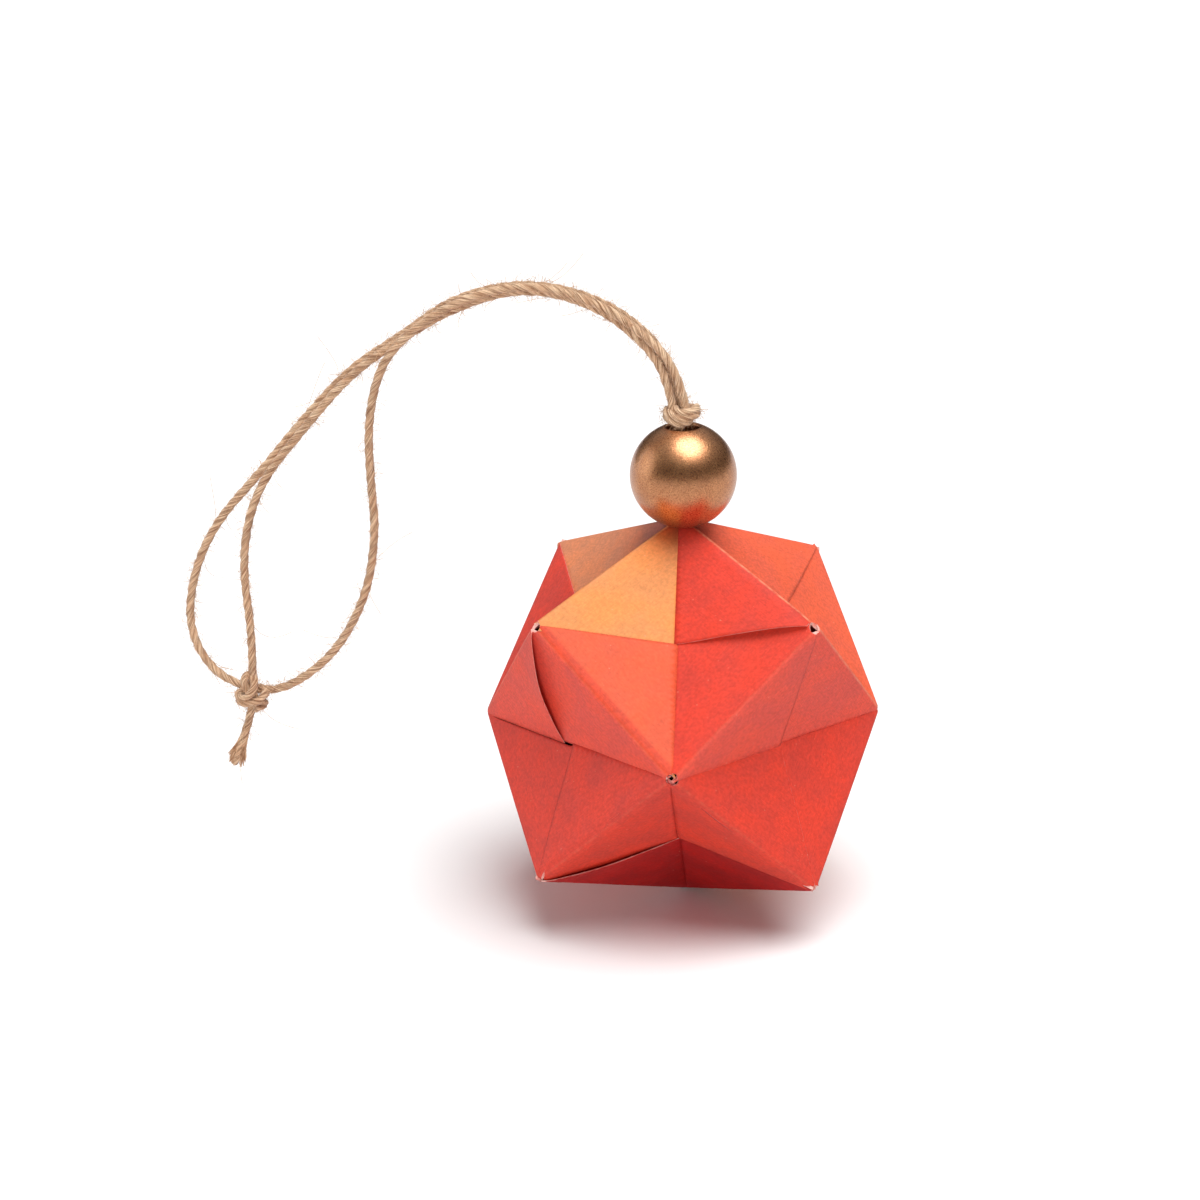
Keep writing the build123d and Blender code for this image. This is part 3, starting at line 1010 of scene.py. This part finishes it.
def paperUnit(name, spec, number):
    points, faces, rim, dyeAndShade, ridgeDistance, sheetPlace, inside, wearAndSheen = ([] for _ in range(8))
    for turn, apex in enumerate([a for a in spec if a != "tips"]):
        half = foldHalf(apex, spec["tips"], spec[apex])
        count = len(half["outer"])
        first = len(points)
        points += list(half["outer"]) + list(half["inner"])
        local = half["outer"]
        outerFaces = half["faces"]
        border = boundaryEdges(outerFaces)
        a, b, c = (local[k] for k in outerFaces[len(outerFaces) // 2][:3])
        flipped = np.cross(b - a, c - a) @ half["start"] < 0
        for f in outerFaces:
            up = f[::-1] if flipped else f
            faces.append([first + k for k in up])
            rim.append(0.0)
            faces.append([first + count + k for k in up[::-1]])
            rim.append(0.0)
        for p, q in border:
            wall = [first + q, first + p, first + count + p, first + count + q]
            faces.append(wall[::-1] if flipped else wall)
            corner = min(np.hypot(half["s"][p], half["w"][p]),
                         np.hypot(half["s"][p] - paper["ridge"], half["w"][p]))
            rim.append(1.0 if corner < paper["paleReach"] else 0.4)
        flapColour = np.array(dyesAndShades[half["sits"]["flap"]])
        tabColour = np.array(dyesAndShades[half["sits"]["tab"]])
        share = smoothStep(half["w"], -0.35, 0.35)[:, None]
        mixed = tabColour + (flapColour - tabColour) * share
        sits, s, w = half["sits"], half["s"], half["w"]
        # painted shade, and with the plum colour a painted reflection of the bead, on the tab round its tip
        if "tipShadeColour" in sits:
            tipShadeSpread = np.exp(-(np.hypot(s - paper["ridge"], w) / sits["tipShadeSpread"]) ** 2) * (w < 0)
            mixed = mixed + (np.array(dyesAndShades[sits["tipShadeColour"]]) - mixed) * paper["tipShadeDepth"] * tipShadeSpread[:, None]
        # painted shade: the paper is darkened where the bead presses on it
        fromTop = np.linalg.norm(half["outer"] - corners["top"], axis=1)
        beadContactShade = paper["beadContactShade"] * np.exp(-(fromTop / paper["beadContactShadeReach"]) ** 2)
        mixed = mixed * (1 - beadContactShade * np.array((0.75, 1, 1))[:, None]).T
        band = smoothStep(w, -0.1, 0.15) * (1 - smoothStep(w, 1.7, 2.0))
        mixed = mixed * (1 - sits.get("crease", 0.0) * band[:, None] * np.array((1, 2.2, 1.6)))
        wearAndSheen += [sits.get("wearAndSheen", 0.12)] * (2 * count)
        dyeAndShade += list(mixed) * 2
        ridgeDistance += list(half["w"]) * 2
        inside += [0.0] * count + [1.0] * count
        shift = turn * 61.0 + number * 173.0   # no two halves share a stretch of laid lines
        sheetPlace += [(x + shift, y) for x, y in zip(half["s"], half["w"])] * 2
        under, underFaces = bodyPlate(half)
        first = len(points)
        points += under
        for f in outwardFirst(under, underFaces, half["flapOut"]):
            faces.append([first + k for k in f])
            rim.append(0.0)
        # painted shade on the layers under the tab
        dyeAndShade += [flapColour * paper["underShade"]] * len(under)
        ridgeDistance += [paper["ridge"]] * len(under)
        wearAndSheen += [0.0] * len(under)
        inside += [0.0] * len(under)
        sheetPlace += [(0.0, 0.0)] * len(under)
    placed = (np.array(points) + np.array((0, 0, paper["ballCentre"]))) * mm
    mesh = meshFrom(name, placed, faces)
    mesh.polygons.foreach_set("use_smooth", [r == 0 for r in rim])
    saveFloats(mesh, "rim", "FACE", rim)
    saveFloats(mesh, "across", "POINT", ridgeDistance)
    saveFloats(mesh, "inside", "POINT", inside)
    saveFloats(mesh, "wearAndSheen", "POINT", wearAndSheen)
    tint = mesh.attributes.new("dyeAndShade", "FLOAT_COLOR", "POINT")
    tint.data.foreach_set("color", np.hstack([np.array(dyeAndShade), np.ones((len(dyeAndShade), 1))]).ravel())
    sheetMap = mesh.uv_layers.new(name="sheet")
    corner = np.zeros(len(mesh.loops), np.int32)
    mesh.loops.foreach_get("vertex_index", corner)
    sheetMap.data.foreach_set("uv", (np.array(sheetPlace)[corner] * 0.01).ravel())
    mesh.update()
    return mesh


def saveFloats(mesh, name, domain, values):
    attribute = mesh.attributes.new(name, "FLOAT", domain)
    attribute.data.foreach_set("value", np.array(values, np.float32))


def paperMaterial():
    material, tree, shader = newMaterial("dyedPaper")
    link = tree.links.new
    place = addNode(tree, "ShaderNodeTexCoord").outputs["Object"]
    sheet = addNode(tree, "ShaderNodeUVMap", uv_map="sheet").outputs[0]
    dyeAndShade = attributeNode(tree, "dyeAndShade", "Color")
    rim = attributeNode(tree, "rim")
    across = attributeNode(tree, "across")
    inside = attributeNode(tree, "inside")
    # cloudy dye, fine laid lines, short fibres and a few pale specks
    clouds = noiseNode(tree, place, 130, 5, 0.6)
    fine = noiseNode(tree, place, 1700, 3, 0.65)
    laid = noiseNode(tree, stretched(tree, sheet, (50, 800, 1)), 1.0, 3, 0.6)
    specks = noiseNode(tree, place, 1500, 1, 0.5)
    warm = rampNode(tree, clouds, [(0.4, 0.0), (0.62, 0.38)])
    colour = mixColour(tree, warm, dyeAndShade, (1.0, 0.45, 0.22), "SOFT_LIGHT")
    colour = mixColour(tree, 1.0, colour, rampNode(tree, clouds, [(0.3, 0.91), (0.6, 1.0)]), "MULTIPLY")
    colour = mixColour(tree, 1.0, colour, rampNode(tree, fine, [(0.36, 0.85), (0.62, 1.03)]), "MULTIPLY")
    colour = mixColour(tree, 1.0, colour, rampNode(tree, laid, [(0.34, 0.85), (0.66, 1.04)]), "MULTIPLY")
    pale = rampNode(tree, specks, [(0.76, 0.0), (0.82, 0.35)])
    colour = mixColour(tree, pale, colour, fromSrgb(244, 170, 140))
    # worn, paler ridge folds, partly a painted highlight along their crests
    fromFold = mathNode(tree, "DIVIDE", mathNode(tree, "ABSOLUTE", across), 0.5)
    crest = mathNode(tree, "SUBTRACT", 1.0, fromFold, clamp=True)
    rubbed = rampNode(tree, noiseNode(tree, place, 480, 4, 0.7), [(0.4, 0.15), (0.62, 0.9)])
    wornAndSheen = mathNode(tree, "MULTIPLY", mathNode(tree, "MULTIPLY", crest, rubbed), attributeNode(tree, "wearAndSheen"))
    colour = mixColour(tree, wornAndSheen, colour, fromSrgb(240, 160, 124))
    colour = mixColour(tree, mathNode(tree, "MULTIPLY", inside, 0.55), colour, fromSrgb(214, 140, 130))
    # pale cut edges
    cut = mathNode(tree, "MULTIPLY", rim, rampNode(tree, noiseNode(tree, place, 700, 2, 0.6),
                                                   [(0.38, 0.2), (0.6, 0.85)]))
    colour = mixColour(tree, cut, colour, fromSrgb(236, 196, 184))
    link(colour, shader.inputs["Base Color"])
    setInputs(shader, {"Roughness": 0.62, "Specular IOR Level": 0.35})
    height = mathNode(tree, "ADD", mathNode(tree, "MULTIPLY", fine, 0.6),
                      mathNode(tree, "MULTIPLY", laid, 0.25))
    wrinkle = noiseNode(tree, place, 210, 3, 0.6, 0.6)
    normal = bumpNode(tree, wrinkle, 0.0004, 0.35)
    link(bumpNode(tree, height, 0.00005, 0.7, normal), shader.inputs["Normal"])
    return material


dyedPaper = paperMaterial()
for number, (name, spec) in enumerate(units.items()):
    piece = addObject("folded_" + name, paperUnit("folded_" + name, spec, number + 1))
    piece.data.materials.append(dyedPaper)
    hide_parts("paper_unit_" + name)
    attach(piece, "root")
print("twelve sheets folded")


for piece in (loopTwine, tailTwine, beadKnotPiece, loopKnotPiece, brushPiece, fibrePiece):
    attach(piece, "root")
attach(beadPiece, "root")
for name in ("inner_twine", "anchor_knot"):
    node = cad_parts[name]
    node.data.materials.clear()
    node.data.materials.append(jute)


stage = {"floorHeight": (paper["ballCentre"] - paper["ridge"]) * mm, "floorSize": 12.0}


def floorMaterial():
    # near white to the camera, and a bit darker in the light it sends back to the piece
    material, tree, shader = newMaterial("paleFloor")
    seen = addNode(tree, "ShaderNodeLightPath").outputs["Is Camera Ray"]
    tone = mixColour(tree, seen, (0.7, 0.67, 0.67), (0.94, 0.94, 0.94))
    tree.links.new(tone, shader.inputs["Base Color"])
    setInputs(shader, {"Roughness": 0.9, "Specular IOR Level": 0.1})
    return material


half = stage["floorSize"] / 2
floorPoints = [(x * half, y * half, stage["floorHeight"]) for x, y in ((-1, -1), (1, -1), (1, 1), (-1, 1))]
floor = addObject("floor", meshFrom("floor", floorPoints, [(0, 1, 2, 3)]))
floor.data.materials.append(floorMaterial())


def sunLight(name, direction, strength, spread):
    # a far soft box: even over the whole floor, with soft shadows
    light = bpy.data.lights.new(name, "SUN")
    light.energy = strength
    light.angle = math.radians(spread)
    lamp = addObject(name, light)
    lamp.rotation_euler = Vector(direction).to_track_quat("Z", "Y").to_euler()
    return lamp


sunLight("keyLight", (0.22, -0.17, 0.96), 3.1, 48)
sunLight("leftFill", (-0.95, 0.12, 0.2), 0.75, 50)
frontFill = sunLight("frontFill", (-0.05, -0.99, 0.11), 1.4, 14)
frontFill.visible_glossy = False


def studioWorld():
    # bright overhead and dim at the sides, plain white where the camera looks past the floor
    world = bpy.data.worlds.new("studio")
    bpy.context.scene.world = world
    world.use_nodes = True
    tree = world.node_tree
    link = tree.links.new
    way = addNode(tree, "ShaderNodeTexCoord").outputs["Generated"]
    parts = addNode(tree, "ShaderNodeSeparateXYZ")
    link(way, parts.inputs[0])
    level = mathNode(tree, "ADD", mathNode(tree, "MULTIPLY", parts.outputs["Y"], 0.12),
                     mathNode(tree, "MULTIPLY", parts.outputs["Z"], 0.8))
    bright = rampNode(tree, level, [(0.25, 0.02), (0.75, 0.95)])
    seen = addNode(tree, "ShaderNodeLightPath").outputs["Is Camera Ray"]
    colour = mixColour(tree, seen, bright, (2.1, 2.1, 2.1))
    back = tree.nodes["Background"]
    link(colour, back.inputs["Color"])
    back.inputs["Strength"].default_value = 0.45


studioWorld()
print("stage lit")
